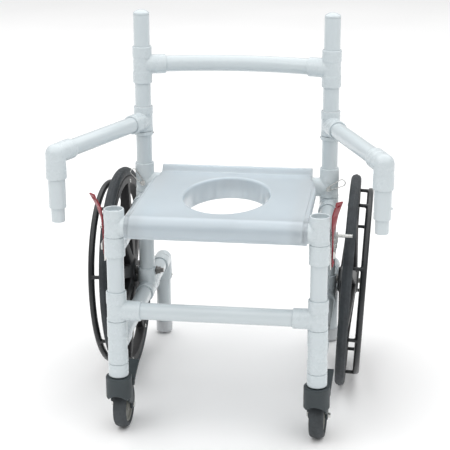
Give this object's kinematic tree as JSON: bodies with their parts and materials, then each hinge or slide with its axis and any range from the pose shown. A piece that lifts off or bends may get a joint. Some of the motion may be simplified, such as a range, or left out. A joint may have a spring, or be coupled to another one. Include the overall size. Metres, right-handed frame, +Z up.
{
  "type": "wheeled commode chair",
  "caption": "Self-propelled commode chair in white pipe: lift-off seat with an oval opening, swing-away arms, large handrim wheels, wheel locks and braked front casters.",
  "frame": {"origin": "on the floor, at the middle of the whole chair's box", "axes": "+Z up, the sitter faces -Y, +X is the side on the right as seen from the front of the picture"},
  "size_m": [0.8418, 0.7212, 1.0131],
  "materials": {
    "pipe": "smooth white pipe",
    "fitting": "moulded white fitting",
    "bush": "smooth liner",
    "end_cap": "soft satin cap",
    "seat": "glossy moulded seat",
    "tyre": "slate solid tyre",
    "mag": "black moulded wheel",
    "handrim": "black coated handrim",
    "hood": "slate moulded plastic",
    "core": "grey moulded core",
    "tread": "dark grey tread",
    "lever": "dipped red coating",
    "bolt": "dull zinc plated bolt",
    "steel": "bright steel"
  },
  "bodies": {
    "frame": {"rear_upright_left": "pipe", "rear_upright_right": "pipe", "front_post_left": "pipe", "front_post_right": "pipe", "back_crossbar": "pipe", "front_seat_rail": "pipe", "rear_seat_rail": "pipe", "lower_crossbar": "pipe", "seat_side_rails": "pipe", "lower_side_rails": "pipe", "anti_tip_tubes": "pipe", "handle_caps": "fitting", "back_tees": "fitting", "stop_collars": "fitting", "rear_seat_tees": "fitting", "front_seat_tees": "fitting", "side_rail_tees": "fitting", "lower_bar_tees": "fitting", "lower_rail_tees": "fitting", "rear_foot_tees": "fitting", "anti_tip_elbows": "fitting", "anti_tip_caps": "end_cap", "socket_liners": "fitting", "caster_bushings": "fitting", "frame_screws": "steel", "axle_bolts": "bolt", "lock_brackets": "steel"},
    "wheel_left": {"rear_tyre_left": "tyre", "mag_wheel_left": "mag", "wheel_bearings_left": "steel", "handrim_left": "handrim"},
    "fork_left": {"caster_hood_left": "hood", "caster_axle_left": "steel"},
    "caster_left": {"caster_core_left": "core", "caster_tread_left": "tread"},
    "pedal_left": {"caster_pedal_left": "hood"},
    "bush_left": {"arm_bush_left": "bush"},
    "arm_left": {"arm_fittings_left": "fitting", "arm_pipes_left": "pipe"},
    "lever_left": {"lock_lever_left": "lever"},
    "shoe_left": {"lock_slide_left": "steel"},
    "pin_left": {"lock_pin_left": "steel"},
    "bail_left": {"pin_bail_left": "steel"},
    "wheel_right": {"rear_tyre_right": "tyre", "mag_wheel_right": "mag", "wheel_bearings_right": "steel", "handrim_right": "handrim"},
    "fork_right": {"caster_hood_right": "hood", "caster_axle_right": "steel"},
    "caster_right": {"caster_core_right": "core", "caster_tread_right": "tread"},
    "pedal_right": {"caster_pedal_right": "hood"},
    "bush_right": {"arm_bush_right": "bush"},
    "arm_right": {"arm_fittings_right": "fitting", "arm_pipes_right": "pipe"},
    "lever_right": {"lock_lever_right": "lever"},
    "shoe_right": {"lock_slide_right": "steel"},
    "pin_right": {"lock_pin_right": "steel"},
    "bail_right": {"pin_bail_right": "steel"},
    "seat": {"seat_panel": "seat"}
  },
  "joints": [
    {"name": "wheel_spin_left", "type": "hinge", "parent": "frame", "child": "wheel_left", "pos_m": [-0.307, 0.07279, 0.28769], "axis": [-0.9989, -0.0012, -0.0471], "continuous": true},
    {"name": "caster_swivel_left", "type": "hinge", "parent": "frame", "child": "fork_left", "pos_m": [-0.2497, -0.32809, 0.09309], "axis": [0, 0.0244, 0.9997], "continuous": true},
    {"name": "caster_roll_left", "type": "hinge", "parent": "fork_left", "child": "caster_left", "pos_m": [-0.24891, -0.28389, 0.06], "axis": [-0.9998, 0.0174, -0.0004], "continuous": true},
    {"name": "caster_brake_left", "type": "hinge", "parent": "fork_left", "child": "pedal_left", "pos_m": [-0.249, -0.28732, 0.1241], "axis": [0.9998, -0.0174, 0.0004], "range_deg": [-4, 0]},
    {"name": "arm_lift_left", "type": "slide", "parent": "frame", "child": "bush_left", "axis": [0, 0.0244, 0.9997], "range_m": [0, 0.056]},
    {"name": "arm_swing_left", "type": "hinge", "parent": "bush_left", "child": "arm_left", "pos_m": [-0.2497, 0.08326, 0.71623], "axis": [0, -0.0244, -0.9997], "range_deg": [-8, 150]},
    {"name": "lock_lever_left", "type": "hinge", "parent": "frame", "child": "lever_left", "pos_m": [-0.2807, -0.28876, 0.47424], "axis": [-1, 0, 0], "range_deg": [0, 55]},
    {"name": "lock_shoe_left", "type": "slide", "parent": "frame", "child": "shoe_left", "axis": [0, 0.9997, -0.0244], "range_m": [0, 0.0256]},
    {"name": "seat_pin_left", "type": "slide", "parent": "frame", "child": "pin_left", "axis": [0, -0.9997, 0.0244], "range_m": [0, 0.07]},
    {"name": "pin_bail_left", "type": "hinge", "parent": "pin_left", "child": "bail_left", "pos_m": [-0.2497, 0.0792, 0.55027], "axis": [0, 0.9997, -0.0244], "range_deg": [-30, 30]},
    {"name": "wheel_spin_right", "type": "hinge", "parent": "frame", "child": "wheel_right", "pos_m": [0.307, 0.07279, 0.28769], "axis": [0.9989, -0.0012, -0.0471], "continuous": true},
    {"name": "caster_swivel_right", "type": "hinge", "parent": "frame", "child": "fork_right", "pos_m": [0.2497, -0.32809, 0.09309], "axis": [0, 0.0244, 0.9997], "continuous": true},
    {"name": "caster_roll_right", "type": "hinge", "parent": "fork_right", "child": "caster_right", "pos_m": [0.25205, -0.28395, 0.06], "axis": [0.9986, -0.0523, 0.0013], "continuous": true},
    {"name": "caster_brake_right", "type": "hinge", "parent": "fork_right", "child": "pedal_right", "pos_m": [0.25179, -0.28737, 0.1241], "axis": [0.9986, -0.0523, 0.0013], "range_deg": [-4, 0]},
    {"name": "arm_lift_right", "type": "slide", "parent": "frame", "child": "bush_right", "axis": [0, 0.0244, 0.9997], "range_m": [0, 0.056]},
    {"name": "arm_swing_right", "type": "hinge", "parent": "bush_right", "child": "arm_right", "pos_m": [0.2497, 0.08326, 0.71623], "axis": [0, 0.0244, 0.9997], "range_deg": [-8, 150]},
    {"name": "lock_lever_right", "type": "hinge", "parent": "frame", "child": "lever_right", "pos_m": [0.2807, -0.28876, 0.47424], "axis": [-1, 0, 0], "range_deg": [0, 55]},
    {"name": "lock_shoe_right", "type": "slide", "parent": "frame", "child": "shoe_right", "axis": [0, 0.9997, -0.0244], "range_m": [0, 0.0256]},
    {"name": "seat_pin_right", "type": "slide", "parent": "frame", "child": "pin_right", "axis": [0, -0.9997, 0.0244], "range_m": [0, 0.07]},
    {"name": "pin_bail_right", "type": "hinge", "parent": "pin_right", "child": "bail_right", "pos_m": [0.2497, 0.0792, 0.55027], "axis": [0, -0.9997, 0.0244], "range_deg": [-30, 30]},
    {"name": "seat_lift", "type": "slide", "parent": "frame", "child": "seat", "axis": [0, 0.0244, 0.9997], "range_m": [0, 0.12]}
  ],
  "couplings": [
    {"joint": "lock_shoe_left", "follows": "lock_lever_left", "m_per_rad": 0.02666},
    {"joint": "lock_shoe_right", "follows": "lock_lever_right", "m_per_rad": 0.02666}
  ]
}
